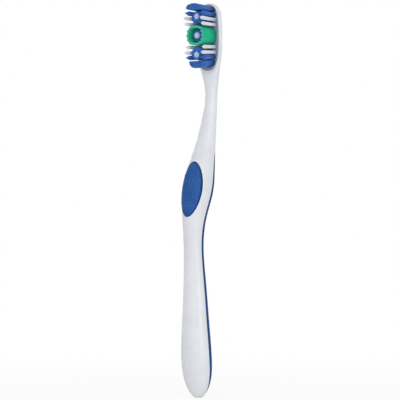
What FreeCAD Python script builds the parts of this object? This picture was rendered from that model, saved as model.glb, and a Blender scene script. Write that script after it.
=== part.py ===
import FreeCAD, Part
import math
import os
from collections import namedtuple

import Sketcher
from FreeCAD import Vector

# The brush stands upright on its foot: +Z runs from the foot to the tip of the head, the bristles
# face -Y, and the origin is the middle of the foot. Lengths are millimetres, angles degrees.
SIZES = {
    # Shaft, station by station from the foot up: the span from the station below, the width, the
    # depths in front of and behind the parting plane, and that plane's offset from the foot.
    "palm_span": 17.0, "palm_width": 15.8, "palm_front": 5.6, "palm_back": 6.8, "palm_offset": -1.3,
    "tail_span": 19.0, "tail_width": 14.0, "tail_front": 4.85, "tail_back": 6.45, "tail_offset": -2.25,
    "grip_span": 20.0, "grip_width": 11.3, "grip_front": 4.0, "grip_back": 5.6, "grip_offset": -2.9,
    "waist_span": 19.0, "waist_width": 10.0, "waist_front": 3.8, "waist_back": 5.2, "waist_offset": -3.75,
    "swell_span": 12.0, "swell_width": 12.2, "swell_front": 5.5, "swell_back": 5.5, "swell_offset": -2.65,
    "thumb_span": 12.0, "thumb_width": 15.2, "thumb_front": 7.9, "thumb_back": 6.0, "thumb_offset": 0.35,
    "brow_span": 13.0, "brow_width": 13.3, "brow_front": 6.9, "brow_back": 4.6, "brow_offset": 3.4,
    "shoulder_span": 11.0, "shoulder_width": 9.9, "shoulder_front": 4.9, "shoulder_back": 3.5,
    "shoulder_offset": 6.3,
    "throat_span": 12.0, "throat_width": 7.4, "throat_front": 3.35, "throat_back": 2.75, "throat_offset": 8.8,
    "neck_span": 12.0, "neck_width": 6.4, "neck_front": 2.6, "neck_back": 2.6, "neck_offset": 10.1,
    "heel_span": 10.0, "heel_width": 10.1, "heel_front": 2.15, "heel_back": 3.2, "heel_offset": 9.4,
    # Head tray, from the heel station to the rounded tip.
    "head_span": 7.5, "head_front": 1.9, "head_back": 3.4, "head_offset": 9.1,
    "head_side_rim": 0.35, "head_tip_rim": 0.8, "tip_round": 7.5, "face_trim": 0.3, "face_step": 1.0,
    # How full the corners of a section are: about 0.8 is an ellipse, over 1 is nearly square.
    "shaft_corner_share": 0.8, "head_corner_share": 1.12, "plate_corner_share": 0.92,
    "pad_corner_share": 0.78, "cup_corner_share": 0.86, "tuft_corner_share": 1.1,
    # Soft grips: wall over the hard core, proud height of the pads, thumb pad, back cover, and the
    # hard strip that always stays between those two.
    "soft_wall": 1.2, "pad_proud": 0.35, "pad_width": 12.5, "pad_length": 26.7, "pad_rise": 1.2,
    "stem_radius": 1.6, "cover_foot": 0.8, "cover_foot_seam": 1.6, "cover_crest": 10.5,
    "seam_setback": 0.5, "brow_seam_share": 0.12, "hard_strip": 0.8,
    # Tongue cleaner on the back of the head.
    "cleaner_width": 9.2, "cleaner_margin": 3.4, "rib_pitch": 3.0, "rib_thickness": 1.1, "rib_height": 0.5,
    "rib_width_share": 0.78,
    # Bristle plate and the melted layer behind it.
    "plate_thickness": 1.8, "plate_rise": 0.6, "plate_heel_margin": 1.4, "plate_tip_margin": 0.6,
    "plate_side_margin": 1.2, "plate_chamfer": 0.3, "plate_clearance": 0.1,
    "weld_thickness": 0.8, "weld_depth": 0.4,
    # Tufts: gap between neighbours, spread of a tuft from root to end, clearance in the plate, and
    # the lean of the end tufts, which the rows between share in proportion to their distance.
    "tuft_gap": 0.5, "tuft_spread": 0.1, "tuft_clearance": 0.05,
    "end_lean_angle": 4.0, "side_lean_angle": 3.5,
    "cup_width": 10.5, "cup_length": 9.6, "cup_wall": 1.2, "cup_floor": 0.8, "cup_seat": 0.4,
    "cup_reach": 10.3,
    "ring_radius": 2.9, "ring_reach": 9.2, "cup_ring_reach": 8.1, "core_radius": 1.4, "core_reach": 9.6,
    "core_shift": 0.6, "cup_core_reach": 9.5,
    "side_radius": 0.8, "side_distance": 4.5, "side_pitch": 2.5,
    "upper_inner_reach": 11.8, "upper_outer_reach": 12.6,
    "lower_inner_reach": 10.9, "lower_outer_reach": 11.8,
    "corner_radius": 1.0, "corner_distance": 3.95, "upper_corner_reach": 12.1, "lower_corner_reach": 11.4,
    "tip_depth": 2.9, "tip_reach": 12.0, "heel_depth": 3.5, "heel_reach": 9.4,
    "end_width_share": 0.675, "end_inner_share": 0.35,
}

SHAFT = ("palm", "tail", "grip", "waist", "swell", "thumb", "brow", "shoulder", "throat", "neck", "heel")
COVERED = ("palm", "tail", "grip", "waist", "swell", "thumb")
END_STEPS = 5
FLAT_ANGLE = 11
BLUNT_POWER = 0.35
RIBS = 7
ENDS = (("upper", 1), ("lower", -1))
SIDES = (("left", -1), ("right", 1))

# Poles of the closed curve that every oval scales: sides, corners and ends of a unit square.
UNIT_POLES = ((1, 0), (1, 1), (0, 1), (-1, 1), (-1, 0), (-1, -1), (0, -1), (1, -1))

Section = namedtuple("Section", "name height offset half_width front back front_corner")

doc = FreeCAD.newDocument("toothbrush")
sheet = doc.addObject("Spreadsheet::Sheet", "sizes")
for row, (alias, value) in enumerate(SIZES.items(), start=1):
    sheet.set(f"A{row}", alias)
    sheet.set(f"B{row}", str(value))
    sheet.setAlias(f"B{row}", alias)
doc.recompute()

# Places worked out from the sizes, as expressions.
HEIGHT = {}
stack = []
for station in SHAFT:
    stack.append(f"sizes.{station}_span")
    HEIGHT[station] = "(" + " + ".join(stack) + ")"
FACE = "(sizes.head_offset - sizes.head_front + sizes.face_trim)"
RING_DISTANCE = "(sizes.cup_length / 2 + sizes.tuft_gap + sizes.ring_radius)"
END_DISTANCE = f"({RING_DISTANCE} + sizes.ring_radius + sizes.tuft_gap)"
CORNER_ROW = f"({END_DISTANCE} - sizes.tuft_gap - sizes.corner_radius)"
OUTER_ROW = f"({CORNER_ROW} - sizes.corner_radius - sizes.tuft_gap - sizes.side_radius)"
INNER_ROW = f"({OUTER_ROW} - sizes.side_pitch)"
PLATE_LOW = f"({HEIGHT['heel']} + sizes.plate_rise)"
CUP_HEIGHT = f"({PLATE_LOW} + sizes.plate_heel_margin + sizes.heel_depth + {END_DISTANCE})"
PLATE_HIGH = f"({CUP_HEIGHT} + {END_DISTANCE} + sizes.tip_depth + sizes.plate_tip_margin)"
PLATE_MIDDLE = f"(({PLATE_LOW} + {PLATE_HIGH}) / 2)"
PLATE_HALF_LENGTH = f"(({PLATE_HIGH} - {PLATE_LOW}) / 2)"
PLATE_HALF_WIDTH = (
    "(max(sizes.side_distance + sizes.side_radius; sizes.cup_width / 2) + sizes.plate_side_margin)"
)
POCKET_DEPTH = "(sizes.plate_thickness + sizes.weld_thickness)"
ROOT_DEPTH = "(sizes.plate_thickness + sizes.weld_depth)"
HEAD_HALF_WIDTH = f"({PLATE_HALF_WIDTH} + sizes.head_side_rim)"
TIP_HEIGHT = f"({PLATE_HIGH} + sizes.head_tip_rim)"
PAD_HEIGHT = f"({HEIGHT['thumb']} + sizes.pad_rise)"


def new_body(name):
    body = doc.addObject("PartDesign::Body", name)
    doc.recompute()
    return body


def new_sketch(body, name, plane_role):
    sketch = body.newObject("Sketcher::SketchObject", name)
    plane = next(item for item in body.Origin.OriginFeatures if item.Role == plane_role)
    sketch.AttachmentSupport = [(plane, "")]
    sketch.MapMode = "FlatFace"
    return sketch


def constrain(sketch, shape, dimensions):
    """Add fixed constraints, then named dimensions with the expressions that drive them."""
    constraints = [Sketcher.Constraint(*item) for item in shape]
    for name, kind, points, _ in dimensions:
        constraint = Sketcher.Constraint(kind, *points, 1)
        constraint.Name = name
        constraints.append(constraint)
    sketch.addConstraint(constraints)
    for name, _, _, expression in dimensions:
        sketch.setExpression(f"Constraints.{name}", expression)


def draw_oval(sketch, half_width, low, high, low_corner, high_corner):
    """Closed smooth curve through half_width at both sides, low below and high above the origin."""
    curve = Part.BSplineCurve()
    poles = [Vector(x, y, 0) for x, y in UNIT_POLES]
    curve.buildFromPolesMultsKnots(poles, periodic=True, degree=3)
    first = sketch.addGeometry(curve)
    sketch.exposeInternalGeometry(first)
    pole = range(first + 1, first + 1 + len(UNIT_POLES))
    shape = [("PointOnObject", pole[index], 3, axis) for index, axis in ((0, -1), (2, -2), (6, -2))]
    shape += [("Symmetric", pole[right], 3, pole[left], 3, -2) for right, left in ((0, 4), (1, 3), (7, 5))]

    # A cubic passes a sixth, four sixths and a sixth of the way between three poles, so a pole on an
    # axis stands out by what its two corner neighbours hold the curve back.
    origin = (-1, 1)
    side = f"({half_width}) * (6 - {low_corner} - {high_corner}) / 4"
    constrain(sketch, shape, (
        ("side", "DistanceX", (*origin, pole[0], 3), side),
        ("high", "DistanceY", (*origin, pole[2], 3), f"({high}) * (3 - {high_corner}) / 2"),
        ("low", "DistanceY", (pole[6], 3, *origin), f"({low}) * (3 - {low_corner}) / 2"),
        ("high_corner_x", "DistanceX", (*origin, pole[1], 3), f"({half_width}) * {high_corner}"),
        ("high_corner_y", "DistanceY", (*origin, pole[1], 3), f"({high}) * {high_corner}"),
        ("low_corner_x", "DistanceX", (*origin, pole[7], 3), f"({half_width}) * {low_corner}"),
        ("low_corner_y", "DistanceY", (pole[7], 3, *origin), f"({low}) * {low_corner}"),
    ))


def pad_sketch(body, sketch, length, name="pad"):
    pad = body.newObject("PartDesign::Pad", f"{body.Name}_{name}")
    pad.Profile = sketch
    pad.setExpression("Length", length)
    return pad


def boolean(kind, name, base, tool):
    result = doc.addObject(f"Part::{kind}", name)
    result.Base = base
    result.Tool = tool
    return result


def fuse_all(name, items):
    result = doc.addObject("Part::MultiFuse", name)
    result.Shapes = items
    return result


def round_end(blunt_power):
    """Shares of height, width and depth of the sections that round off an end, outermost first."""
    flat = math.radians(FLAT_ANGLE)
    for step in range(END_STEPS):
        angle = flat + (math.pi / 2 - flat) * step / END_STEPS
        yield 1 - math.cos(angle) / math.cos(flat), math.sin(angle), math.sin(angle) ** blunt_power


def shaft_sections(inset):
    """Sections of the whole handle from foot to tip, drawn in by the inset on every side."""
    shaft_corner = "sizes.shaft_corner_share"
    head_corner = "sizes.head_corner_share"
    palm_half_width = f"sizes.palm_width / 2 - ({inset})"
    head_half_width = f"{HEAD_HALF_WIDTH} - ({inset})"
    sections = []
    for step, (rise, wide, deep) in enumerate(round_end(1)):
        sections.append(Section(
            f"foot_{step}", f"({inset}) + ({HEIGHT['palm']} - ({inset})) * {rise}",
            f"sizes.palm_offset * {rise}", f"({palm_half_width}) * {wide}",
            f"(sizes.palm_front - ({inset})) * {deep}", f"(sizes.palm_back - ({inset})) * {deep}",
            shaft_corner))
    for station in SHAFT:
        corner = f"({shaft_corner} + {head_corner}) / 2" if station == "heel" else shaft_corner
        sections.append(Section(
            station, HEIGHT[station], f"sizes.{station}_offset", f"sizes.{station}_width / 2 - ({inset})",
            f"sizes.{station}_front - ({inset})", f"sizes.{station}_back - ({inset})", f"({corner})"))
    head_front = f"sizes.head_front - ({inset})"
    head_back = f"sizes.head_back - ({inset})"
    crown_height = f"{TIP_HEIGHT} - sizes.tip_round"
    for name, height in (("head", f"{HEIGHT['heel']} + sizes.head_span"), ("crown", crown_height)):
        sections.append(Section(
            name, height, "sizes.head_offset", head_half_width, head_front, head_back, head_corner))
    for step, (rise, wide, deep) in reversed(list(enumerate(round_end(BLUNT_POWER)))):
        sections.append(Section(
            f"tip_{step}", f"{TIP_HEIGHT} - ({inset}) - (sizes.tip_round - ({inset})) * {rise}",
            "sizes.head_offset", f"({head_half_width}) * {wide}", f"({head_front}) * {deep}",
            f"({head_back}) * {deep}", head_corner))
    return sections


def make_shaft(name, inset):
    """Smooth solid of the handle, neck and head, drawn in by the inset on every side."""
    body = new_body(name)
    sketches = []
    for section in shaft_sections(inset):
        sketch = new_sketch(body, f"{name}_{section.name}", "XY_Plane")
        sketch.setExpression("AttachmentOffset.Base.y", section.offset)
        sketch.setExpression("AttachmentOffset.Base.z", section.height)
        draw_oval(sketch, section.half_width, section.front, section.back,
                  section.front_corner, "sizes.shaft_corner_share")
        sketches.append(sketch)
    loft = body.newObject("PartDesign::AdditiveLoft", f"{name}_loft")
    loft.Profile = sketches[0]
    loft.Sections = sketches[1:]
    doc.recompute()
    return body


def draw_seam(sketch, seam):
    """Rectangle behind the seam line, wider and deeper than any section of the shaft."""
    corners = [Vector(x, y, 0) for x, y in ((-1, 0), (1, 0), (1, 1), (-1, 1))]
    for start, end in zip(corners, corners[1:] + corners[:1]):
        sketch.addGeometry(Part.LineSegment(start, end))
    shape = [("Coincident", line, 2, (line + 1) % 4, 1) for line in range(4)]
    shape += [("Vertical", 1), ("Horizontal", 2), ("Vertical", 3)]
    shape += [("PointOnObject", 0, 1, -1), ("Symmetric", 0, 1, 0, 2, -2)]
    constrain(sketch, shape, (
        ("reach", "DistanceX", (0, 1, 0, 2), "2 * sizes.palm_width"),
        ("depth", "DistanceY", (0, 2, 1, 2), "2 * sizes.palm_width"),
    ))
    sketch.setExpression("AttachmentOffset.Base.y", seam)


def make_back_zone(name, forward):
    """Space behind the seam between hard front and soft back, or so far forward of that seam."""
    levels = [("foot", "sizes.cover_foot", "sizes.cover_foot_seam")]
    for station in COVERED:
        levels.append((station, HEIGHT[station], f"sizes.{station}_offset + sizes.seam_setback"))
    levels.append(("brow", HEIGHT["brow"], "sizes.brow_offset + sizes.brow_back * sizes.brow_seam_share"))
    crest_height = f"{HEIGHT['brow']} + sizes.cover_crest"
    levels.append(("crest", crest_height, "sizes.shoulder_offset + sizes.brow_back"))
    body = new_body(name)
    sketches = []
    for level, height, seam in levels:
        sketch = new_sketch(body, f"{name}_{level}", "XY_Plane")
        sketch.setExpression("AttachmentOffset.Base.z", height)
        draw_seam(sketch, f"{seam} - {forward}")
        sketches.append(sketch)
    loft = body.newObject("PartDesign::AdditiveLoft", f"{name}_loft")
    loft.Profile = sketches[0]
    loft.Sections = sketches[1:]
    doc.recompute()
    return body


def make_oval_block(name, half_width, half_length, corner, middle, back_face, thickness):
    """Oval block with its face along the head: middle is its height, back_face its rear plane."""
    body = new_body(name)
    sketch = new_sketch(body, f"{name}_outline", "XZ_Plane")
    sketch.setExpression("AttachmentOffset.Base.y", middle)
    sketch.setExpression("AttachmentOffset.Base.z", f"-({back_face})")
    draw_oval(sketch, half_width, half_length, half_length, corner, corner)
    pad_sketch(body, sketch, thickness)
    doc.recompute()
    return body


def make_feed_stem():
    """Runner through the hard core, by which the thumb pad is filled from the back cover and held."""
    stem = doc.addObject("Part::Cylinder", "feed_stem")
    stem.setExpression("Radius", "sizes.stem_radius")
    stem.setExpression("Height", "sizes.thumb_front + sizes.thumb_back")
    rear = "sizes.thumb_offset + sizes.thumb_back"
    stem.setExpression("Placement", f"placement(vector(0; {rear}; {PAD_HEIGHT}); rotation(0; 0; 90))")
    return stem


def make_grips(skin, core, proud_skin):
    """Thumb pad and back cover, with the rooms that they fill in the handle."""
    stem = make_feed_stem()
    cover_room = boolean("Cut", "cover_room", make_back_zone("cover_zone", "0"), core)
    back_grip = boolean("Common", "back_grip", skin, cover_room)

    pad_block = make_oval_block(
        "pad_block", "sizes.pad_width / 2", "sizes.pad_length / 2", "sizes.pad_corner_share", PAD_HEIGHT,
        "sizes.thumb_offset + sizes.thumb_back", "2 * sizes.palm_width")
    pad_limit = make_back_zone("pad_limit", "sizes.hard_strip")
    pad_zone = boolean("Cut", "pad_zone", pad_block, pad_limit)
    pad_room = boolean("Cut", "pad_room", pad_zone, core)
    pad = boolean("Common", "pad", proud_skin, pad_room)
    thumb_grip = boolean("Fuse", "thumb_grip", pad, boolean("Common", "runner", core, stem))
    return thumb_grip, back_grip, stem, [pad_room, cover_room]


def make_tongue_cleaner(core, proud_skin):
    """Soft pad let into the back of the head, with cross ribs, and the room that it fills."""
    half_length = f"{PLATE_HALF_LENGTH} - sizes.cleaner_margin"
    rear = "sizes.head_offset + sizes.head_back + 2 * sizes.rib_height + sizes.pad_proud"
    block = make_oval_block(
        "cleaner_block", "sizes.cleaner_width / 2", half_length, "sizes.plate_corner_share", PLATE_MIDDLE,
        rear, f"{rear} - sizes.head_offset")
    room = boolean("Cut", "cleaner_room", block, core)
    pad = boolean("Common", "cleaner_pad", proud_skin, room)

    rib_skin = make_shaft("rib_skin", "-sizes.pad_proud - sizes.rib_height")
    bars = []
    half_width = "sizes.cleaner_width / 2 * sizes.rib_width_share"
    for index in range(RIBS):
        bar = doc.addObject("Part::Box", f"rib_bar_{index + 1}")
        place = f"{PLATE_MIDDLE} + sizes.rib_pitch * {index - (RIBS - 1) / 2} - sizes.rib_thickness / 2"
        bar.setExpression("Length", f"2 * {half_width}")
        bar.setExpression("Width", "sizes.palm_width")
        bar.setExpression("Height", "sizes.rib_thickness")
        bar.setExpression(
            "Placement", f"placement(vector(-{half_width}; sizes.head_offset; {place}); rotation(0; 0; 0))")
        bars.append(bar)
    rib_room = boolean("Common", "rib_room", room, fuse_all("rib_bars", bars))
    ribs = boolean("Common", "ribs", rib_skin, rib_room)
    return boolean("Fuse", "tongue_cleaner", pad, ribs), room


def make_handle(skin, stem, rooms):
    """White moulding: the whole shaft less its flat face, plate pocket and the soft pieces' rooms."""
    face_block = doc.addObject("Part::Box", "face_block")
    face_block.setExpression("Length", "2 * sizes.palm_width")
    face_block.setExpression("Width", "sizes.palm_width")
    face_block.setExpression("Height", f"{TIP_HEIGHT} - {HEIGHT['heel']} + sizes.face_step")
    low = f"{PLATE_LOW} - sizes.face_step"
    face_block.setExpression(
        "Placement",
        f"placement(vector(-sizes.palm_width; {FACE} - sizes.palm_width; {low}); rotation(0; 0; 0))")
    pocket = make_oval_block(
        "plate_pocket", f"{PLATE_HALF_WIDTH} + sizes.plate_clearance",
        f"{PLATE_HALF_LENGTH} + sizes.plate_clearance", "sizes.plate_corner_share", PLATE_MIDDLE,
        f"{FACE} + {POCKET_DEPTH}", f"{POCKET_DEPTH} + sizes.palm_width")
    soft_rooms = doc.addObject("Part::Compound", "soft_rooms")
    soft_rooms.Links = rooms
    handle = skin
    cutters = [face_block, pocket, soft_rooms, stem]
    for index, cutter in enumerate(cutters, start=1):
        name = "handle" if index == len(cutters) else f"handle_cut_{index}"
        handle = boolean("Cut", name, handle, cutter)
    return handle


def tuft_placement(x, distance, lean_distance=None, side_lean="0", root=ROOT_DEPTH):
    """Placement of a tuft whose axis crosses the plate's face at x and at a distance above the cup."""
    lean = f"(sizes.end_lean_angle * ({lean_distance or distance}) / {END_DISTANCE})"
    root_x = f"({x}) - {root} * cos({lean}) * sin({side_lean})"
    root_y = f"{FACE} + {root} * cos({lean}) * cos({side_lean})"
    root_z = f"{CUP_HEIGHT} + ({distance}) - {root} * sin({lean})"
    return f"placement(vector({root_x}; {root_y}; {root_z}); rotation({side_lean}; 0; 90 - {lean}))"


def make_round_tuft(name, radius, length, placement):
    tuft = doc.addObject("Part::Cone", name)
    tuft.setExpression("Radius1", radius)
    tuft.setExpression("Radius2", f"{radius} + sizes.tuft_spread")
    tuft.setExpression("Height", length)
    tuft.setExpression("Placement", placement)
    return tuft


def make_end_tuft(name, half_width, low, high, corners, length, placement):
    """Half-moon tuft, flat towards the cup and round towards its own end of the head."""
    body = new_body(name)
    sketches = []
    for level, rise, spread in (("root", "0", "0"), ("end", length, "sizes.tuft_spread")):
        sketch = new_sketch(body, f"{name}_{level}", "XY_Plane")
        sketch.setExpression("AttachmentOffset.Base.z", rise)
        draw_oval(sketch, f"{half_width} + {spread}", f"{low} + {spread}", f"{high} + {spread}", *corners)
        sketches.append(sketch)
    loft = body.newObject("PartDesign::AdditiveLoft", f"{name}_loft")
    loft.Profile = sketches[0]
    loft.Sections = sketches[1:]
    body.setExpression("Placement", placement)
    doc.recompute()
    return body


def make_side_tufts(tufts, holes):
    """White tufts in two rows and blue ones in the corners, on both sides and at both ends."""
    rows = (("inner", "side", INNER_ROW), ("outer", "side", OUTER_ROW), ("corner", "corner", CORNER_ROW))
    for end, way in ENDS:
        for side, hand in SIDES:
            for row_name, family, distance in rows:
                placement = tuft_placement(
                    f"{hand} * sizes.{family}_distance", f"{way} * {distance}",
                    side_lean=f"({hand} * sizes.side_lean_angle)")
                radius = f"sizes.{family}_radius"
                length = f"sizes.{end}_{row_name}_reach + {ROOT_DEPTH}"
                name = f"{end}_{side}_{row_name}_tuft"
                tufts.append(make_round_tuft(name, radius, length, placement))
                holes.append(make_round_tuft(
                    f"{name}_hole", f"{radius} + sizes.tuft_clearance", length, placement))


def make_ring_tufts(tufts, holes):
    """Ring of bristles round a core, in one hole: above the cup, inside it and below it."""
    places = (
        ("upper", RING_DISTANCE, "sizes.core_shift", "sizes.ring_reach", "sizes.core_reach"),
        ("cup", "0", "0", "sizes.cup_ring_reach", "sizes.cup_core_reach"),
        ("lower", f"-{RING_DISTANCE}", "-sizes.core_shift", "sizes.ring_reach", "sizes.core_reach"),
    )
    for name, distance, shift, ring_reach, core_reach in places:
        ring_place = tuft_placement("0", distance)
        core_distance = f"{distance} + {shift}"
        ring_length = f"{ring_reach} + {ROOT_DEPTH}"
        bundle = make_round_tuft(f"{name}_bundle", "sizes.ring_radius", ring_length, ring_place)
        bore_root = f"({ROOT_DEPTH} + sizes.tuft_gap)"
        bore = make_round_tuft(
            f"{name}_bore", "sizes.core_radius + sizes.tuft_clearance", f"{ring_length} + 2 * sizes.tuft_gap",
            tuft_placement("0", core_distance, distance, root=bore_root))
        tufts.append(boolean("Cut", f"{name}_ring_tuft", bundle, bore))
        tufts.append(make_round_tuft(
            f"{name}_core_tuft", "sizes.core_radius", f"{core_reach} + {ROOT_DEPTH}",
            tuft_placement("0", core_distance, distance)))
        holes.append(make_round_tuft(
            f"{name}_ring_hole", "sizes.ring_radius + sizes.tuft_clearance", ring_length, ring_place))


def make_end_tufts(tufts, holes):
    """Half-moon tufts at the tip and at the heel of the head."""
    half_width = f"{PLATE_HALF_WIDTH} * sizes.end_width_share"
    for name, way, family in (("tip_tuft", 1, "tip"), ("heel_tuft", -1, "heel")):
        inner = f"sizes.{family}_depth * sizes.end_inner_share"
        outer = f"sizes.{family}_depth * (1 - sizes.end_inner_share)"
        low, high = (inner, outer)[::way]
        corners = ("sizes.tuft_corner_share", "sizes.shaft_corner_share")[::way]
        length = f"sizes.{family}_reach + {ROOT_DEPTH}"
        placement = tuft_placement("0", f"{way} * ({END_DISTANCE} + {inner})")
        tufts.append(make_end_tuft(name, half_width, low, high, corners, length, placement))
        grown = "sizes.tuft_clearance"
        holes.append(make_end_tuft(
            f"{name}_hole", f"{half_width} + {grown}", f"{low} + {grown}", f"{high} + {grown}",
            corners, length, placement))


def make_polishing_cup(ring_hole):
    """Soft oval cup, its foot let into the plate, with a hole in its floor for the ring of bristles."""
    corner = "sizes.cup_corner_share"
    seat = f"{FACE} + sizes.cup_seat"
    block = make_oval_block(
        "cup_block", "sizes.cup_width / 2", "sizes.cup_length / 2", corner, CUP_HEIGHT, seat,
        "sizes.cup_reach + sizes.cup_seat")
    hollow = make_oval_block(
        "cup_hollow", "sizes.cup_width / 2 - sizes.cup_wall", "sizes.cup_length / 2 - sizes.cup_wall", corner,
        CUP_HEIGHT, f"{FACE} - sizes.cup_floor", "sizes.cup_reach")
    shell = boolean("Cut", "cup_shell", block, hollow)
    return boolean("Cut", "polishing_cup", shell, ring_hole)


def make_plate(holes):
    """Plate that carries the tufts: an oval with a chamfered edge, a hole per tuft and the cup's seat."""
    blank = make_oval_block(
        "plate_blank", PLATE_HALF_WIDTH, PLATE_HALF_LENGTH, "sizes.plate_corner_share", PLATE_MIDDLE,
        f"{FACE} + sizes.plate_thickness", "sizes.plate_thickness")
    pad = blank.Tip
    front = min(edge.CenterOfMass.y for edge in pad.Shape.Edges)
    rim = [
        f"Edge{index}" for index, edge in enumerate(pad.Shape.Edges, start=1)
        if math.isclose(edge.BoundBox.YMax, front, abs_tol=pad.Shape.getTolerance(1))
    ]
    chamfer = blank.newObject("PartDesign::Chamfer", "plate_edge")
    chamfer.Base = (pad, rim)
    chamfer.setExpression("Size", "sizes.plate_chamfer")
    grown = "sizes.tuft_clearance"
    seat = make_oval_block(
        "cup_seat", f"sizes.cup_width / 2 + {grown}", f"sizes.cup_length / 2 + {grown}",
        "sizes.cup_corner_share", CUP_HEIGHT, f"{FACE} + sizes.cup_seat", "2 * sizes.cup_seat")
    return boolean("Cut", "bristle_plate", blank, fuse_all("plate_cuts", [seat, holes]))


def make_weld(holes):
    """Melted nylon behind the plate, with the roots of the tufts sunk into it."""
    blank = make_oval_block(
        "weld_blank", PLATE_HALF_WIDTH, PLATE_HALF_LENGTH, "sizes.plate_corner_share", PLATE_MIDDLE,
        f"{FACE} + {POCKET_DEPTH}", "sizes.weld_thickness")
    return boolean("Cut", "tuft_weld", blank, holes)


def make_brush():
    skin = make_shaft("skin", "0")
    core = make_shaft("core", "sizes.soft_wall")
    proud_skin = make_shaft("proud_skin", "-sizes.pad_proud")
    thumb_grip, back_grip, stem, rooms = make_grips(skin, core, proud_skin)
    tongue_cleaner, cleaner_room = make_tongue_cleaner(core, proud_skin)
    handle = make_handle(skin, stem, [*rooms, cleaner_room])

    tufts = []
    hole_list = []
    make_side_tufts(tufts, hole_list)
    make_ring_tufts(tufts, hole_list)
    make_end_tufts(tufts, hole_list)
    holes = fuse_all("tuft_holes", hole_list)
    cup = make_polishing_cup(doc.getObject("cup_ring_hole"))
    return [handle, thumb_grip, back_grip, tongue_cleaner, make_plate(holes), make_weld(holes), cup, *tufts]


def check(nodes):
    """Stop before anything is written if an object failed or a piece is not one sound solid."""
    failed = [item.Name for item in doc.Objects if {"Invalid", "Error"} & set(item.State)]
    if failed:
        raise RuntimeError(f"failed to build: {', '.join(failed)}")
    for node in nodes:
        shape = node.Shape
        if shape.isNull() or not shape.isValid() or len(shape.Solids) != 1:
            raise RuntimeError(f"{node.Label} is not one sound solid")


brush = make_brush()
doc.recompute()
check(brush)
os.makedirs("parts", exist_ok=True)
for node in brush:
    node.Shape.exportStep(f"parts/{node.Label}.step")
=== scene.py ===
import math
import random

import bmesh
import bpy
import numpy as np
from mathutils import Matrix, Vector, noise
from mathutils.bvhtree import BVHTree
from mathutils.geometry import convex_hull_2d
from mathutils.kdtree import KDTree


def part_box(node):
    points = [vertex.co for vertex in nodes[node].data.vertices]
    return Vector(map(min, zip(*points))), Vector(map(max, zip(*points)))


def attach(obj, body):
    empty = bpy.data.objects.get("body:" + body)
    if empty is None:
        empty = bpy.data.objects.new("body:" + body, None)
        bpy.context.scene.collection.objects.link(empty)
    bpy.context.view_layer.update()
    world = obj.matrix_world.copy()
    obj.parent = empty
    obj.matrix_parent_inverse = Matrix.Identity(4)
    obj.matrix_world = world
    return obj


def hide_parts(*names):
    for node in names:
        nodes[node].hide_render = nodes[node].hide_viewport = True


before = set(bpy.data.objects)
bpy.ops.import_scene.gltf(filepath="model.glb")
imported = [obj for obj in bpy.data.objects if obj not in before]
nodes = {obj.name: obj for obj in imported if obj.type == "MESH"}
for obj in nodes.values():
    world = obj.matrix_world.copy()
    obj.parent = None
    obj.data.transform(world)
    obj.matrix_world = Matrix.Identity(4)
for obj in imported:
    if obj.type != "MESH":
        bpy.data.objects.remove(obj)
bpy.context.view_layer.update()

MM = 0.001

# The brush in the picture: the camera looks level at it, turned to the right of its bristle face.
CAMERA_TURN = math.radians(40)
FRAME_HEIGHT = 192.4 * MM
FRAME_MIDDLE = 95.0 * MM
FRAME_SHIFT = 0.96 * MM
LENS_MM = 225
SENSOR_MM = 36
VIEW_END = 10

# Studio: a round sheet of paper for a floor, which shows some of the shadow round the foot, white
# surroundings, and square soft boxes.
FLOOR_RADIUS = 400 * MM
FLOOR_SIDES = 96
FLOOR_DROP = 0.05 * MM
FLOOR_NEAR = 30 * MM
FLOOR_FAR = 360 * MM
FLOOR_NEAR_WHITE = 0.88
PAPER_FIBRE = 3 * MM
SURROUND_LIGHT = 0.55
SURROUND_WHITE = 1.0
SOFT_BOX = 0.8

# Noise in the materials: how much each finer layer keeps, and the part of its range that is used.
NOISE_FALL = 0.55
NOISE_LOW, NOISE_HIGH = 0.3, 0.7

# Moulded plastic: width of its flow marks, of patches of like polish and of the tool's soft waves.
FLOW_WIDTH = 9 * MM
POLISH_WIDTH = 1.1 * MM
WAVE_WIDTH = 2.2 * MM
WAVE_DEPTH = 0.03 * MM
PLASTIC_GLOW_DEPTH = 0.8 * MM

# Elastomer: width of its colour drifts and of patches polished by handling, and depth of the grit.
DRIFT_WIDTH = 6 * MM
HANDLED_WIDTH = 2.5 * MM
GRIT_DEPTH = 0.04 * MM

# Nylon: length of the gloss streaks, and where along a filament the painted shade at its root gives
# way.
STREAK_LENGTH = 0.5 * MM
ROOT_PAINTED_SHADE_START, ROOT_PAINTED_SHADE_END = 0.15, 0.6
NYLON_ROUGH_LOW, NYLON_ROUGH_HIGH = 0.28, 0.42

# Bristles: nylon filament, drawn a little thicker than the real 0.2 mm so that single ones show.
FILAMENT_RADIUS = 0.13 * MM
FILAMENT_PITCH = 0.255 * MM
FILAMENT_SIDES = 6
FILAMENT_INSIDE_SHARE = 0.8
DOME_DEPTH_SHARE, DOME_WIDTH_SHARE = 0.35, 0.75
MIDDLE_SHARE = 0.55
BEND = 0.06 * MM
TIP_BEND_SHARE = 0.5
CLUMP_SIZE = 0.8 * MM
CLUMP_SHADE_SHARE = 0.7
END_FACE_TILT = 0.6 * MM

# How far the rim of each kind of tuft lies lower than its middle, and how uneven its ends are.
SIDE_POINT = 2.0 * MM
CORNER_POINT = 3.2 * MM
RING_CROWN = 0.3 * MM
CORE_CROWN = 0.9 * MM
END_CROWN = 0.15 * MM
FINE_JITTER = 0.10 * MM
END_JITTER = 0.6 * MM

# Steps along each straight side of an outline, and to each side over which its normals are taken.
OUTLINE_STEPS = 40
OUTLINE_SMOOTHING = 4

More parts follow.
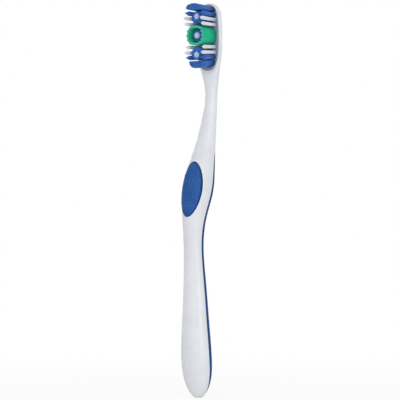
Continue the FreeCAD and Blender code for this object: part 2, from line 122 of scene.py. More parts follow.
# Polishing cup: its wall, the waves along its rim, and the flutes inside that end in them.
CUP_WALL = 1.2 * MM
CUP_FLOOR = 0.8 * MM
CUP_WAVES = 14
CUP_WAVE_HEIGHT = 0.32 * MM
CUP_FLUTE_DEPTH = 0.1 * MM
CUP_WAVE_STEPS = 16
CUP_ROUND = 0.35 * MM
CUP_RIM_STEPS = 6
CUP_CREST_POWER = 0.4
CUP_SEAT = 0.4 * MM
CUP_BORE_GAP = 0.02 * MM

# Oval pads: fine gap round them and rounded rim. The face is read a little inside the solid's edge.
PAD_COLUMNS, PAD_ROWS = 84, 168
PAD_SECTORS = 4 * PAD_ROWS
PAD_GAP = 0.06 * MM
PAD_RIM = 0.45 * MM
PAD_THICKNESS = 0.9 * MM
PAD_FACE_SHARE = 0.995

# Thumb pad: painted rim shade, and raised dots in arcs above and below its middle with painted
# highlights.
PAD_PAINTED_SHADE = 0.75 * MM
DOT_RADIUS = 0.45 * MM
DOT_HEIGHT = 0.25 * MM
DOT_PITCH = 1.75 * MM
DOT_SPREAD = 0.9
DOT_PAINTED_HIGHLIGHT = 0.5
DOT_ARCS = (4.8 * MM, 6.5 * MM, 8.2 * MM)

# Tongue cleaner: round ribs across the pad, so many to each side of its middle one, with painted
# highlights.
RIB_REACH = 3
RIB_PITCH = 3.0 * MM
RIB_HEIGHT = 0.5 * MM
RIB_HALF_FOOT = 0.7 * MM
RIB_HALF_LENGTH = 3.6 * MM
RIB_CLEAR = 0.8 * MM
RIB_PAINTED_HIGHLIGHT = 0.35

# Back cover: rounded along its seam with the hard handle, and darkened there by painted shade.
COVER_ROWS, COVER_COLUMNS = 480, 64
COVER_GAP = 0.05 * MM
COVER_RIM = 0.25 * MM
COVER_PAINTED_SHADE = 0.5 * MM
COVER_THICKNESS = 0.8 * MM
COVER_SIGHT = 40 * MM
COVER_HALVINGS = 16


def linear(hex_colour):
    """Linear RGBA of an sRGB colour written as hex."""
    channels = [int(hex_colour[i:i + 2], 16) / 255 for i in (1, 3, 5)]
    curve = [c / 12.92 if c <= 0.04045 else ((c + 0.055) / 1.055) ** 2.4 for c in channels]
    return (*curve, 1)


def add_node(tree, kind, inputs=None, **settings):
    """Add one node, set its properties, and link or set its inputs."""
    node = tree.nodes.new(kind)
    for name, value in settings.items():
        setattr(node, name, value)
    for socket, value in (inputs or {}).items():
        if isinstance(value, bpy.types.NodeSocket):
            tree.links.new(value, node.inputs[socket])
        else:
            node.inputs[socket].default_value = value
    return node


def new_material(name):
    """Material with no nodes yet, and its tree."""
    material = bpy.data.materials.new(name)
    material.use_nodes = True
    material.node_tree.nodes.clear()
    return material, material.node_tree


def moulded_polypropylene(name, low, high, rough_low, rough_high):
    """Injection-moulded polypropylene, polished tool: satin gloss, faint flow marks, soft waves."""
    material, tree = new_material(name)
    place = add_node(tree, "ShaderNodeTexCoord").outputs["Object"]
    flow = add_node(tree, "ShaderNodeTexNoise", {
        "Vector": place, "Scale": 1 / FLOW_WIDTH, "Detail": 3, "Roughness": NOISE_FALL})
    share = add_node(tree, "ShaderNodeMapRange", {
        "Value": flow.outputs["Fac"], "From Min": NOISE_LOW, "From Max": NOISE_HIGH})
    tint = add_node(tree, "ShaderNodeMix", {
        "Factor": share.outputs["Result"], "A": linear(low), "B": linear(high),
    }, data_type="RGBA")
    polish = add_node(tree, "ShaderNodeTexNoise", {
        "Vector": place, "Scale": 1 / POLISH_WIDTH, "Detail": 4, "Roughness": NOISE_FALL})
    gloss = add_node(tree, "ShaderNodeMapRange", {
        "Value": polish.outputs["Fac"], "From Min": NOISE_LOW, "From Max": NOISE_HIGH,
        "To Min": rough_low, "To Max": rough_high})
    waves = add_node(tree, "ShaderNodeTexNoise", {
        "Vector": place, "Scale": 1 / WAVE_WIDTH, "Detail": 1, "Roughness": NOISE_FALL})
    bump = add_node(tree, "ShaderNodeBump", {
        "Height": waves.outputs["Fac"], "Strength": 0.25, "Distance": WAVE_DEPTH})
    shader = add_node(tree, "ShaderNodeBsdfPrincipled", {
        "Base Color": tint.outputs["Result"], "Roughness": gloss.outputs["Result"],
        "Normal": bump.outputs["Normal"], "IOR": 1.49, "Subsurface Weight": 0.12,
        "Subsurface Radius": (1.0, 0.95, 0.9), "Subsurface Scale": PLASTIC_GLOW_DEPTH})
    add_node(tree, "ShaderNodeOutputMaterial", {"Surface": shader.outputs["BSDF"]})
    return material


def moulded_elastomer(name, low, high, edge, painted_highlight, rough_low, rough_high, grit):
    """Styrenic elastomer, eroded tool: matt even colour, fine grit; painted rim shade and top
    highlights.
    """
    material, tree = new_material(name)
    place = add_node(tree, "ShaderNodeTexCoord").outputs["Object"]
    drift = add_node(tree, "ShaderNodeTexNoise", {
        "Vector": place, "Scale": 1 / DRIFT_WIDTH, "Detail": 2, "Roughness": NOISE_FALL})
    share = add_node(tree, "ShaderNodeMapRange", {
        "Value": drift.outputs["Fac"], "From Min": NOISE_LOW, "From Max": NOISE_HIGH})
    body = add_node(tree, "ShaderNodeMix", {
        "Factor": share.outputs["Result"], "A": linear(low), "B": linear(high),
    }, data_type="RGBA")
    # Painted shade: a piece's edge value darkens its rim towards the dark edge colour.
    border = add_node(tree, "ShaderNodeAttribute", attribute_name="edge")
    rim_shaded = add_node(tree, "ShaderNodeMix", {
        "Factor": border.outputs["Fac"], "A": body.outputs["Result"], "B": linear(edge),
    }, data_type="RGBA")
    # Painted highlight: a piece's raised value lightens raised tops towards a lighter colour.
    top = add_node(tree, "ShaderNodeAttribute", attribute_name="raised")
    tint = add_node(tree, "ShaderNodeMix", {
        "Factor": top.outputs["Fac"], "A": rim_shaded.outputs["Result"], "B": linear(painted_highlight),
    }, data_type="RGBA")
    handled = add_node(tree, "ShaderNodeTexNoise", {
        "Vector": place, "Scale": 1 / HANDLED_WIDTH, "Detail": 4, "Roughness": NOISE_FALL})
    gloss = add_node(tree, "ShaderNodeMapRange", {
        "Value": handled.outputs["Fac"], "From Min": NOISE_LOW, "From Max": NOISE_HIGH,
        "To Min": rough_low, "To Max": rough_high})
    # The real grit is about 0.05 mm, too fine to show, so it is drawn coarser.
    pits = add_node(tree, "ShaderNodeTexNoise", {
        "Vector": place, "Scale": 1 / grit, "Detail": 2, "Roughness": NOISE_FALL})
    bump = add_node(tree, "ShaderNodeBump", {
        "Height": pits.outputs["Fac"], "Strength": 0.35, "Distance": GRIT_DEPTH})
    shader = add_node(tree, "ShaderNodeBsdfPrincipled", {
        "Base Color": tint.outputs["Result"], "Roughness": gloss.outputs["Result"],
        "Normal": bump.outputs["Normal"], "IOR": 1.5, "Specular IOR Level": 0.05})
    add_node(tree, "ShaderNodeOutputMaterial", {"Surface": shader.outputs["BSDF"]})
    return material


def drawn_nylon(name, low, high, root):
    """Drawn, end-rounded nylon filament: each its own shade, darkened at the root by painted shade,
    glossy.
    """
    material, tree = new_material(name)
    place = add_node(tree, "ShaderNodeTexCoord").outputs["Object"]
    shade = add_node(tree, "ShaderNodeAttribute", attribute_name="shade")
    tint = add_node(tree, "ShaderNodeMix", {
        "Factor": shade.outputs["Fac"], "A": linear(low), "B": linear(high),
    }, data_type="RGBA")
    # Painted shade: towards the root each filament turns to the darker root colour.
    along = add_node(tree, "ShaderNodeAttribute", attribute_name="along")
    share = add_node(tree, "ShaderNodeMapRange", {
        "Value": along.outputs["Fac"], "From Min": ROOT_PAINTED_SHADE_START, "From Max": ROOT_PAINTED_SHADE_END})
    colour = add_node(tree, "ShaderNodeMix", {
        "Factor": share.outputs["Result"], "A": linear(root), "B": tint.outputs["Result"],
    }, data_type="RGBA")
    streak = add_node(tree, "ShaderNodeTexNoise", {
        "Vector": place, "Scale": 1 / STREAK_LENGTH, "Detail": 3, "Roughness": NOISE_FALL})
    gloss = add_node(tree, "ShaderNodeMapRange", {
        "Value": streak.outputs["Fac"], "From Min": NOISE_LOW, "From Max": NOISE_HIGH,
        "To Min": NYLON_ROUGH_LOW, "To Max": NYLON_ROUGH_HIGH})
    shader = add_node(tree, "ShaderNodeBsdfPrincipled", {
        "Base Color": colour.outputs["Result"], "Roughness": gloss.outputs["Result"],
        "IOR": 1.53, "Specular IOR Level": 0.3})
    add_node(tree, "ShaderNodeOutputMaterial", {"Surface": shader.outputs["BSDF"]})
    return material


# The handle is the glossier moulding, with broad soft highlights; the plate's face is duller.
HANDLE_PLASTIC = moulded_polypropylene(
    "white_polypropylene_moulded", "#e2e4e9", "#eaecf0", rough_low=0.26, rough_high=0.36)
# The plate is white; its grey is painted shade, for the shade that the tufts cast round their
# roots.
PLATE_PAINTED_SHADE_PLASTIC = moulded_polypropylene(
    "polypropylene_plate_painted_shade", "#8c94a8", "#9aa2b4", rough_low=0.4, rough_high=0.52)
# Both blues have hardly a highlight, and the pad's is the lighter; the cup is smoother.
# Each edge colour is painted shade at rims and seams; the next, lighter one is a painted highlight
# on raised tops.
BLUE_SOFT = moulded_elastomer(
    "blue_elastomer_matt", "#2b579b", "#3363a8", edge="#16285c", painted_highlight="#5a88c8",
    rough_low=0.5, rough_high=0.64, grit=0.3 * MM)
BLUE_COVER = moulded_elastomer(
    "blue_elastomer_back_cover", "#21467f", "#284f8c", edge="#16285c", painted_highlight="#5a88c8",
    rough_low=0.5, rough_high=0.64, grit=0.3 * MM)
GREEN_SOFT = moulded_elastomer(
    "green_elastomer_satin", "#22b085", "#2fc092", edge="#1a8f6c", painted_highlight="#58bca4",
    rough_low=0.4, rough_high=0.52, grit=0.4 * MM)
# Dyed blue filaments differ most in shade, undyed white ones least; the weld is the blend of all.
# Root colours are painted shade on the filaments' lower parts; the weld shows its root colour as
# its own.
BLUE_NYLON = drawn_nylon("blue_nylon_filament", "#1c52ac", "#5597e8", root="#234c9a")
WHITE_NYLON = drawn_nylon("white_nylon_filament", "#eef5ff", "#fbfdff", root="#e6f0fe")
PALE_NYLON = drawn_nylon("pale_blue_nylon_filament", "#c6e0ff", "#eaf5ff", root="#98bdea")
WELD_NYLON = drawn_nylon("melted_nylon", "#8fa2c4", "#a9b9d6", root="#8fa2c4")


def new_piece(name, verts, faces, material, slot, *replaced):
    """Mesh piece in the frame's own place, smooth shaded, riding on the brush."""
    mesh = bpy.data.meshes.new(name)
    mesh.from_pydata([tuple(v) for v in verts], [], faces)
    mesh.update()
    mesh.shade_smooth()
    piece = bpy.data.objects.new(name, mesh)
    bpy.context.scene.collection.objects.link(piece)
    mesh.materials.append(material)
    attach(piece, "root")
    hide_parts(*replaced)
    return piece


def add_values(piece, **layers):
    """Numbers kept on a piece's points, which its material reads by name."""
    for label, values in layers.items():
        attribute = piece.data.attributes.new(label, "FLOAT", "POINT")
        attribute.data.foreach_set("value", values)


def front_outline(name, count):
    """Outline of a node seen from the front: its middle, and points round it with their normals."""
    flat = [Vector((v.co.x, v.co.z)) for v in nodes[name].data.vertices]
    corners = np.array([flat[k] for k in convex_hull_2d(flat)])
    middle = (corners.min(axis=0) + corners.max(axis=0)) / 2
    steps = np.linspace(0, 1, OUTLINE_STEPS, endpoint=False)[None, :, None]
    sides = np.roll(corners, -1, axis=0) - corners
    hull = (corners[:, None] + sides[:, None] * steps).reshape(-1, 2) - middle
    angles = np.arange(count) * 2 * math.pi / count
    turns = np.arctan2(hull[:, 1], hull[:, 0])
    radius = np.interp(angles, turns, np.hypot(hull[:, 0], hull[:, 1]), period=2 * math.pi)
    points = np.stack((radius * np.cos(angles), radius * np.sin(angles)), axis=1)
    along = np.roll(points, -OUTLINE_SMOOTHING, axis=0) - np.roll(points, OUTLINE_SMOOTHING, axis=0)
    normals = np.stack((along[:, 1], -along[:, 0]), axis=1) / np.linalg.norm(along, axis=1)[:, None]
    return middle, points, normals


def solid_tree(name):
    """Search tree of a node's own mesh, for finding what lies inside it or on it."""
    mesh = nodes[name].data
    verts = [v.co for v in mesh.vertices]
    faces = [tuple(p.vertices) for p in mesh.polygons]
    return BVHTree.FromPolygons(verts, faces)


def depth_inside(tree, point):
    """How far a point lies under a solid's surface: negative outside it."""
    place, normal, _, distance = tree.find_nearest(point)
    return distance if (point - place).dot(normal) < 0 else -distance


def tuft_axis(name):
    """Root middle, end middle and how much wider the end is than the root."""
    points = np.array([v.co for v in nodes[name].data.vertices])
    depth = points[:, 1]
    root = points[depth > depth.max() - END_FACE_TILT]
    end = points[depth < depth.min() + END_FACE_TILT]
    width = [np.ptp(part[:, 0]) for part in (root, end)]
    corners = [(part.min(axis=0) + part.max(axis=0)) / 2 for part in (root, end)]
    return Vector(corners[0]), Vector(corners[1]), width[1] / width[0]


def filament_places(name, root, end):
    """Places across a tuft, in rows like stacked rods, that keep a filament inside the solid."""
    tree = solid_tree(name)
    low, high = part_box(name)
    axis = (end - root).normalized()
    across = Vector((1, 0, 0))
    across = (across - axis * across.dot(axis)).normalized()
    up = across.cross(axis).normalized()
    probe = root + (end - root) * 0.5
    rows = int((high.z - low.z) / FILAMENT_PITCH) + 2
    columns = int((high.x - low.x) / FILAMENT_PITCH) + 2
    for row in range(-rows, rows + 1):
        for column in range(-columns, columns + 1):
            a = (column + 0.5 * (row % 2)) * FILAMENT_PITCH
            b = row * FILAMENT_PITCH * math.sqrt(3) / 2
            offset = across * a + up * b
            inside = depth_inside(tree, probe + offset)
            if inside > FILAMENT_RADIUS * FILAMENT_INSIDE_SHARE:
                yield offset, inside


def add_filament(verts, faces, shades, alongs, path, shade):
    """Rod along the path with a rounded end."""
    first = len(verts)
    root, middle, tip = path
    axis = (tip - root).normalized()
    side = axis.orthogonal().normalized()
    other = axis.cross(side)
    dome = axis * FILAMENT_RADIUS
    # Each ring: its middle, its share of the radius, and how far along the filament it counts as.
    rings = [
        (root, 1.0, 0.0), (middle, 1.0, 0.5), (tip - dome, 1.0, 1.0),
        (tip - dome * DOME_DEPTH_SHARE, DOME_WIDTH_SHARE, 1.0),
    ]
    for place, share, along in rings:
        for k in range(FILAMENT_SIDES):
            angle = 2 * math.pi * k / FILAMENT_SIDES
            spoke = side * math.cos(angle) + other * math.sin(angle)
            verts.append(place + spoke * FILAMENT_RADIUS * share)
            alongs.append(along)
            shades.append(shade)
    verts.append(tip)
    alongs.append(1.0)
    shades.append(shade)
    last = len(verts) - 1
    for ring in range(len(rings) - 1):
        for k in range(FILAMENT_SIDES):
            a = first + ring * FILAMENT_SIDES + k
            b = first + ring * FILAMENT_SIDES + (k + 1) % FILAMENT_SIDES
            faces.append((a, b, b + FILAMENT_SIDES, a + FILAMENT_SIDES))
    top = first + (len(rings) - 1) * FILAMENT_SIDES
    for k in range(FILAMENT_SIDES):
        faces.append((top + k, top + (k + 1) % FILAMENT_SIDES, last))
    faces.append(tuple(first + k for k in reversed(range(FILAMENT_SIDES))))


def make_tuft(name, material, slot, crown, jitter):
    """Bundle of filaments in a tuft's own space: crown lowers its rim, jitter single filaments."""
    root, end, spread = tuft_axis(name)
    rng = random.Random(name)
    places = list(filament_places(name, root, end))
    reach = max(inside for _, inside in places)
    verts, faces, shades, alongs = [], [], [], []
    axis = (end - root).normalized()
    for offset, inside in places:
        rim = 1 - inside / reach
        # Neighbours lean together in clumps, which share much of their shade and their shortness.
        clump = 0.5 + 0.5 * noise.noise((root + offset) / CLUMP_SIZE)
        short = jitter * (rng.random() + clump) / 2
        tip = end + offset * spread - axis * (crown * rim + short)
        sway = Vector((rng.uniform(-BEND, BEND), 0, rng.uniform(-BEND, BEND)))
        middle = root + offset + (tip - root - offset) * MIDDLE_SHARE + sway
        tip = tip + sway * TIP_BEND_SHARE
        shade = (1 - CLUMP_SHADE_SHARE) * rng.random() + CLUMP_SHADE_SHARE * clump
        add_filament(verts, faces, shades, alongs, (root + offset, middle, tip), shade)
    piece = new_piece(name + "_filaments", verts, faces, material, slot, name)
    add_values(piece, shade=shades, along=alongs)


def make_bristles():
    """All tufts: white at the sides, blue at the corners and ends, blue rings with pale cores."""
    for end in ("upper", "lower"):
        for side in ("left", "right"):
            for row in ("inner", "outer"):
                name = f"{end}_{side}_{row}_tuft"
                make_tuft(name, WHITE_NYLON, "bristle_white", SIDE_POINT, FINE_JITTER)
            name = f"{end}_{side}_corner_tuft"
            make_tuft(name, BLUE_NYLON, "bristle_blue", CORNER_POINT, FINE_JITTER)
    for place in ("upper", "cup", "lower"):
        make_tuft(f"{place}_ring_tuft", BLUE_NYLON, "bristle_blue", RING_CROWN, FINE_JITTER)
        make_tuft(f"{place}_core_tuft", PALE_NYLON, "bristle_pale_blue", CORE_CROWN, FINE_JITTER)
    for place in ("tip", "heel"):
        make_tuft(f"{place}_tuft", BLUE_NYLON, "bristle_blue", END_CROWN, END_JITTER)


def ring_faces(rings, count):
    """Quads between successive rings of count points each, and from the last ring to the first."""
    faces = []
    for ring in range(rings):
        for k in range(count):
            a = ring * count + k
            b = ring * count + (k + 1) % count
            c = ((ring + 1) % rings) * count + (k + 1) % count
            d = ((ring + 1) % rings) * count + k
            faces.append((a, b, c, d))
    return faces


def make_cup():
    """Green cup: smooth wall, rounded rim that rises and falls, and flutes down its inside."""
    low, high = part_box("polishing_cup")
    count = CUP_WAVES * CUP_WAVE_STEPS
    middle, outline, normals = front_outline("polishing_cup", count)
    foot, rim = high.y, low.y
    floor = foot - CUP_SEAT - CUP_FLOOR
    bore_radius = max(abs(v.co.x) for v in nodes["cup_ring_tuft"].data.vertices) + CUP_BORE_GAP
    # Each ring: how far it lies inside the outer wall, its depth, how much it waves and is fluted,
    # and how near it is to the rim's crest.
    profile = [(0.0, foot, 0, 0, 0), (0.0, (foot + rim) / 2, 0, 0, 0)]
    for step in range(CUP_RIM_STEPS + 1):
        angle = math.pi * step / CUP_RIM_STEPS
        inset = CUP_WALL / 2 - CUP_WALL / 2 * math.cos(angle)
        lift = CUP_ROUND * (1 - math.sin(angle))
        crest = abs(math.sin(angle)) ** CUP_CREST_POWER
        profile.append((inset, rim + CUP_WAVE_HEIGHT + lift, 1, step / CUP_RIM_STEPS, crest))
    profile.append((CUP_WALL, (foot + rim) / 2, 0, 1, 0))
    profile.append((CUP_WALL, floor, 0, 0, 0))
    ripple = np.cos(CUP_WAVES * 2 * math.pi * np.arange(count) / count)
    verts, raised = [], []
    for inset, depth, wave, flute, crest in profile:
        # Painted highlight: the crest value paints the rim's top paler.
        raised += [crest] * count
        for k in range(count):
            x, z = middle + outline[k] - normals[k] * (inset + flute * CUP_FLUTE_DEPTH * ripple[k])
            verts.append(Vector((x, depth - wave * CUP_WAVE_HEIGHT * ripple[k], z)))
    for depth in (floor, foot):
        raised += [0.0] * count
        for k in range(count):
            x, z = middle + outline[k] / np.linalg.norm(outline[k]) * bore_radius
            verts.append(Vector((x, depth, z)))
    faces = ring_faces(len(profile) + 2, count)
    piece = new_piece(
        "polishing_cup_fluted", verts, faces, GREEN_SOFT, "soft_green", "polishing_cup")
    add_values(piece, raised=raised)


def rounding(inside, radius):
    """How far a rounded rim falls away at a distance inside its edge."""
    return radius - math.sqrt(radius ** 2 - (radius - inside) ** 2) if inside < radius else 0.0


def close_sheet(columns, face, under):
    """Closed thin body between two like grids of points, given row by row."""
    front = len(face)
    wide = columns + 1
    rows = front // wide - 1
    faces = []
    for row in range(rows):
        for column in range(columns):
            a = row * wide + column
            quad = (a, a + 1, a + 1 + wide, a + wide)
            faces.append(quad)
            faces.append(tuple(front + k for k in reversed(quad)))
    last = rows * wide
    loop = list(range(columns)) + [row * wide + columns for row in range(rows)]
    loop += [last + column for column in range(columns, 0, -1)]
    loop += [row * wide for row in range(rows, 0, -1)]
    for a, b in zip(loop, loop[1:] + loop[:1]):
        faces.append((b, a, front + a, front + b))
    return face + under, faces


def pad_sheet(node, way, face_height=None):
    """Grid over an oval pad that looks along way.

    Each point has its place, its x and z from the pad's middle and its distance inside the rim.
    Where face_height is given, the face's depth is read at the height that it gives instead.
    """
    tree = solid_tree(node)
    low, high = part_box(node)
    begin = (high.y if way > 0 else low.y) + way * PAD_THICKNESS
    middle, outline, normals = front_outline(node, PAD_SECTORS)
    reach = np.linalg.norm(outline, axis=1)
    facing = np.sum(outline * normals, axis=1) / reach
    for row in range(PAD_ROWS + 1):
        for column in range(PAD_COLUMNS + 1):
            # A square sheet drawn out to a disc, and the disc to the pad's outline.
            a = -way * (2 * column / PAD_COLUMNS - 1)
            b = 2 * row / PAD_ROWS - 1
            disc_x = a * math.sqrt(1 - b * b / 2)
            disc_z = b * math.sqrt(1 - a * a / 2)
            share = min(math.hypot(disc_x, disc_z), 1.0)
            turn = math.atan2(disc_z, disc_x) % (2 * math.pi)
            sector = round(turn / (2 * math.pi) * PAD_SECTORS) % PAD_SECTORS
            rim = reach[sector] - PAD_GAP
            x, z = share * rim * math.cos(turn), share * rim * math.sin(turn)
            inside = (1 - share) * rim * facing[sector]
            height = face_height(z) if face_height else z
            probe_x, probe_z = middle + np.array((x, height)) * PAD_FACE_SHARE
            depth = tree.ray_cast(Vector((probe_x, begin, probe_z)), Vector((0, -way, 0)))[0].y
            yield Vector((middle[0] + x, depth, middle[1] + z)), x, z, inside


def dot_places():
    """Raised dots of the thumb pad, in arcs that bow towards its ends: x and z from its middle."""
    for way in (1, -1):
        for radius in DOT_ARCS:
            count = int(radius * DOT_SPREAD / DOT_PITCH)
            for index in range(-count, count + 1):
                angle = index * DOT_PITCH / radius
                yield radius * math.sin(angle), way * radius * math.cos(angle)


def make_thumb_pad():
    """Blue oval pad: the solid's face with a rounded rim, a fine gap round it and raised dots."""
    dots = list(dot_places())
    face, painted_rim_shade, raised = [], [], []
    for place, x, z, inside in pad_sheet("thumb_grip", -1):
        away = min(math.hypot(x - dot_x, z - dot_z) for dot_x, dot_z in dots)
        bulge = 0.5 + 0.5 * math.cos(math.pi * min(away / DOT_RADIUS, 1))
        sink = DOT_HEIGHT * (1 - bulge) + rounding(inside, PAD_RIM)
        face.append(place + Vector((0, sink, 0)))
        # Painted shade within a band along the rim.
        painted_rim_shade.append(max(0.0, 1 - inside / PAD_PAINTED_SHADE))
        # Painted highlight on the dots' tops.
        raised.append(bulge * DOT_PAINTED_HIGHLIGHT)
    under = [place + Vector((0, PAD_THICKNESS, 0)) for place in face]
    verts, faces = close_sheet(PAD_COLUMNS, face, under)
    piece = new_piece("thumb_pad", verts, faces, BLUE_SOFT, "soft_blue", "thumb_grip")
    add_values(piece, edge=painted_rim_shade * 2, raised=raised * 2)


def from_rib(z):
    """Height above the middle of the nearest rib of the tongue cleaner."""
    rib = min(max(round(z / RIB_PITCH), -RIB_REACH), RIB_REACH)
    return z - rib * RIB_PITCH


def beside_rib(z):
    """The same height, or one beside the rib towards the middle, where the pad's own face shows."""
    away = from_rib(z)
    return z if abs(away) > RIB_CLEAR else z - away - math.copysign(RIB_CLEAR, z)


def make_tongue_pad():
    """Ribbed blue pad on the head's back: painted shade at its rounded rim, round ribs with painted
    highlights.
    """
    face, painted_rim_shade, raised = [], [], []
    for place, x, z, inside in pad_sheet("tongue_cleaner", 1, beside_rib):
        across = min(abs(from_rib(z)) / RIB_HALF_FOOT, 1)
        end = min(max((abs(x) - RIB_HALF_LENGTH) / RIB_HALF_FOOT + 1, 0), 1)
        crest = (1 - across ** 2) * (1 - end ** 2)
        face.append(place + Vector((0, RIB_HEIGHT * crest - rounding(inside, PAD_RIM), 0)))
        # Painted shade along the rim.
        painted_rim_shade.append(max(0.0, 1 - inside / COVER_PAINTED_SHADE))
        # Painted highlight on the rib crests.
        raised.append(crest * RIB_PAINTED_HIGHLIGHT)
    under = [place - Vector((0, PAD_THICKNESS, 0)) for place in face]
    verts, faces = close_sheet(PAD_COLUMNS, face, under)
    piece = new_piece("tongue_pad", verts, faces, BLUE_COVER, "soft_blue", "tongue_cleaner")
    add_values(piece, edge=painted_rim_shade * 2, raised=raised * 2)


def outwards(turn):
    """Level direction at a turn from straight back."""
    return Vector((math.sin(turn), math.cos(turn), 0))


def strike(tree, axis, turn):
    """Where a ray from outside towards an axis first meets a solid, and how far it went."""
    place, _, _, distance = tree.ray_cast(axis + outwards(turn) * COVER_SIGHT, -outwards(turn))
    return place, math.inf if place is None else distance


def seam_turn(cover, hard, axis, way):
    """Turn from straight back, to one side, where the soft cover ends and the handle begins."""
    soft, bare = 0.0, math.pi
    for _ in range(COVER_HALVINGS):
        turn = (soft + bare) / 2
        if strike(cover, axis, way * turn)[1] < strike(hard, axis, way * turn)[1]:
            soft = turn
        else:
            bare = turn
    return way * soft


def cover_rows():
    """Rows of points across the back cover's outer face, foot to top, with each point's turn."""
    cover, hard, pad = (solid_tree(name) for name in ("back_grip", "handle", "thumb_grip"))
    low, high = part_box("back_grip")
    # Columns lie closest along the two seams, where the edge is rounded.
    shares = [0.5 - 0.5 * math.cos(math.pi * k / COVER_COLUMNS) for k in range(COVER_COLUMNS + 1)]
    for row in range(COVER_ROWS + 1):
        z = low.z + COVER_GAP + (high.z - low.z - 2 * COVER_GAP) * row / COVER_ROWS
        sight = Vector((0, 0, z))
        front = COVER_SIGHT - min(strike(tree, sight, math.pi)[1] for tree in (hard, pad))
        back = COVER_SIGHT - strike(cover, sight, 0)[1]
        axis = Vector((0, (back - front) / 2, z))
        first, last = seam_turn(cover, hard, axis, 1), seam_turn(cover, hard, axis, -1)
        turns = [first + (last - first) * share for share in shares]
        yield [(strike(cover, axis, turn)[0], turn) for turn in turns]


def make_back_cover():
    """Blue covering of the handle's back: the solid's outer face, its edge rounded at the seam."""
    rows = list(cover_rows())
    border = [row[k][0] for row in rows for k in (0, -1)]
    border += [place for row in (rows[0], rows[-1]) for place, _ in row]
    seam = KDTree(len(border))
    for index, place in enumerate(border):
        seam.insert(place, index)
    seam.balance()
    face, under, painted_rim_shade = [], [], []
    for row in rows:
        for place, turn in row:
            inside = seam.find(place)[2]
            face.append(place - outwards(turn) * rounding(inside, COVER_RIM))
            under.append(place - outwards(turn) * COVER_THICKNESS)
            # Painted shade along the seam with the hard handle.
            painted_rim_shade.append(max(0.0, 1 - inside / COVER_PAINTED_SHADE))
    verts, faces = close_sheet(COVER_COLUMNS, face, under)
    piece = new_piece("back_cover", verts, faces, BLUE_COVER, "soft_blue", "back_grip")
    add_values(piece, edge=painted_rim_shade * 2)


def dress_cad_nodes():
    """Materials of the nodes whose own shape is right."""
    dress = {"handle": HANDLE_PLASTIC, "bristle_plate": PLATE_PAINTED_SHADE_PLASTIC, "tuft_weld": WELD_NYLON}
    for name, material in dress.items():
        nodes[name].data.materials.clear()
        nodes[name].data.materials.append(material)


def studio_paper():
    """Uncoated white paper: faintly mottled by its fibres, to the camera mostly an even white."""
    material, tree = new_material("white_studio_paper")
    place = add_node(tree, "ShaderNodeTexCoord").outputs["Object"]
    fibre = add_node(tree, "ShaderNodeTexNoise", {
        "Vector": place, "Scale": 1 / PAPER_FIBRE, "Detail": 2, "Roughness": NOISE_FALL})
    share = add_node(tree, "ShaderNodeMapRange", {
        "Value": fibre.outputs["Fac"], "From Min": NOISE_LOW, "From Max": NOISE_HIGH})
    tint = add_node(tree, "ShaderNodeMix", {
        "Factor": share.outputs["Result"], "A": linear("#f6f6f6"), "B": linear("#fdfdfd"),
    }, data_type="RGBA")
    paper = add_node(tree, "ShaderNodeBsdfDiffuse", {"Color": tint.outputs["Result"]})
    glow = add_node(tree, "ShaderNodeEmission", {"Strength": 1.0})
    path = add_node(tree, "ShaderNodeLightPath")
    away = add_node(tree, "ShaderNodeVectorMath", {0: place}, operation="LENGTH")
    white = add_node(tree, "ShaderNodeMapRange", {
        "Value": away.outputs["Value"], "From Min": FLOOR_NEAR, "From Max": FLOOR_FAR,
        "To Min": FLOOR_NEAR_WHITE, "To Max": 1.0}, interpolation_type="SMOOTHSTEP")
    seen = add_node(tree, "ShaderNodeMath", {
        0: path.outputs["Is Camera Ray"], 1: white.outputs["Result"]}, operation="MULTIPLY")
    surface = add_node(tree, "ShaderNodeMixShader", {
        0: seen.outputs["Value"], 1: paper.outputs["BSDF"], 2: glow.outputs["Emission"]})
    add_node(tree, "ShaderNodeOutputMaterial", {"Surface": surface.outputs["Shader"]})
    return material


def make_floor():
    """Round sheet of paper just under the foot."""
    mesh = bpy.data.meshes.new("floor")
    shape = bmesh.new()
    bmesh.ops.create_circle(shape, cap_ends=True, segments=FLOOR_SIDES, radius=FLOOR_RADIUS)
    shape.to_mesh(mesh)
    shape.free()
    floor = bpy.data.objects.new("floor", mesh)
    bpy.context.scene.collection.objects.link(floor)
    floor.location.z = -FLOOR_DROP
    mesh.materials.append(studio_paper())


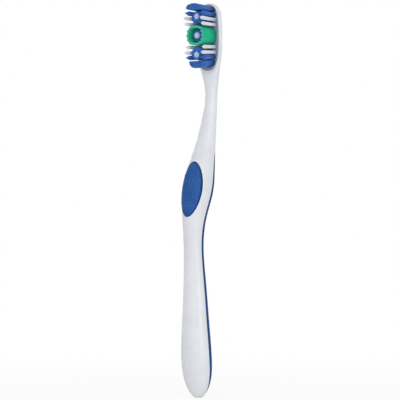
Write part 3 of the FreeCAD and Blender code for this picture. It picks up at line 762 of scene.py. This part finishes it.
def make_surroundings():
    """White to the camera and in gloss, and a softer light to everything else."""
    world = bpy.data.worlds.new("studio")
    bpy.context.scene.world = world
    world.use_nodes = True
    tree = world.node_tree
    tree.nodes.clear()
    path = add_node(tree, "ShaderNodeLightPath")
    seen = add_node(tree, "ShaderNodeMath", {
        0: path.outputs["Is Camera Ray"], 1: path.outputs["Is Glossy Ray"]}, operation="MAXIMUM")
    seen = add_node(tree, "ShaderNodeMath", {
        0: seen.outputs["Value"], 1: path.outputs["Is Transmission Ray"]}, operation="MAXIMUM")
    soft = add_node(tree, "ShaderNodeBackground", {
        "Color": linear("#fdfeff"), "Strength": SURROUND_LIGHT})
    white = add_node(tree, "ShaderNodeBackground", {
        "Color": linear("#ffffff"), "Strength": SURROUND_WHITE})
    mixed = add_node(tree, "ShaderNodeMixShader", {
        0: seen.outputs["Value"], 1: soft.outputs["Background"], 2: white.outputs["Background"]})
    add_node(tree, "ShaderNodeOutputWorld", {"Surface": mixed.outputs["Shader"]})


def image_right(turn):
    """Level direction to the right in the picture."""
    return Vector((math.cos(turn), math.sin(turn), 0))


def towards_camera(turn):
    """Level direction from the brush to the camera."""
    return Vector((math.sin(turn), -math.cos(turn), 0))


def aim(item, target):
    """Turn a lamp or camera to look at a point."""
    item.rotation_euler = (target - item.location).to_track_quat("-Z", "Y").to_euler()


def make_light(name, right, front, up, watts):
    """Soft box placed by how far right of, in front of and above the foot it stands, in metres."""
    lamp = bpy.data.lights.new(name, "AREA")
    lamp.shape = "SQUARE"
    lamp.size = SOFT_BOX
    lamp.energy = watts
    item = bpy.data.objects.new(name, lamp)
    bpy.context.scene.collection.objects.link(item)
    level = image_right(CAMERA_TURN) * right + towards_camera(CAMERA_TURN) * front
    item.location = level + Vector((0, 0, up))
    aim(item, Vector((0, 0, FRAME_MIDDLE)))


def make_camera():
    """Long lens at the photograph's viewing angle, far enough back for the frame's height."""
    camera = bpy.data.cameras.new("camera")
    camera.lens = LENS_MM
    camera.sensor_width = SENSOR_MM
    camera.clip_end = VIEW_END
    item = bpy.data.objects.new("camera", camera)
    bpy.context.scene.collection.objects.link(item)
    target = image_right(CAMERA_TURN) * FRAME_SHIFT + Vector((0, 0, FRAME_MIDDLE))
    item.location = target + towards_camera(CAMERA_TURN) * (FRAME_HEIGHT * LENS_MM / SENSOR_MM)
    aim(item, target)
    bpy.context.scene.camera = item


dress_cad_nodes()
make_bristles()
make_cup()
make_thumb_pad()
make_tongue_pad()
make_back_cover()
make_floor()
make_surroundings()
make_light("key_box", right=0.35, front=1.2, up=0.4, watts=5.8)
make_light("fill_box", right=-0.9, front=0.9, up=0.3, watts=1.5)
make_light("back_box", right=-0.3, front=-1.2, up=0.7, watts=4.0)
make_camera()
bpy.context.scene.view_settings.view_transform = "Standard"
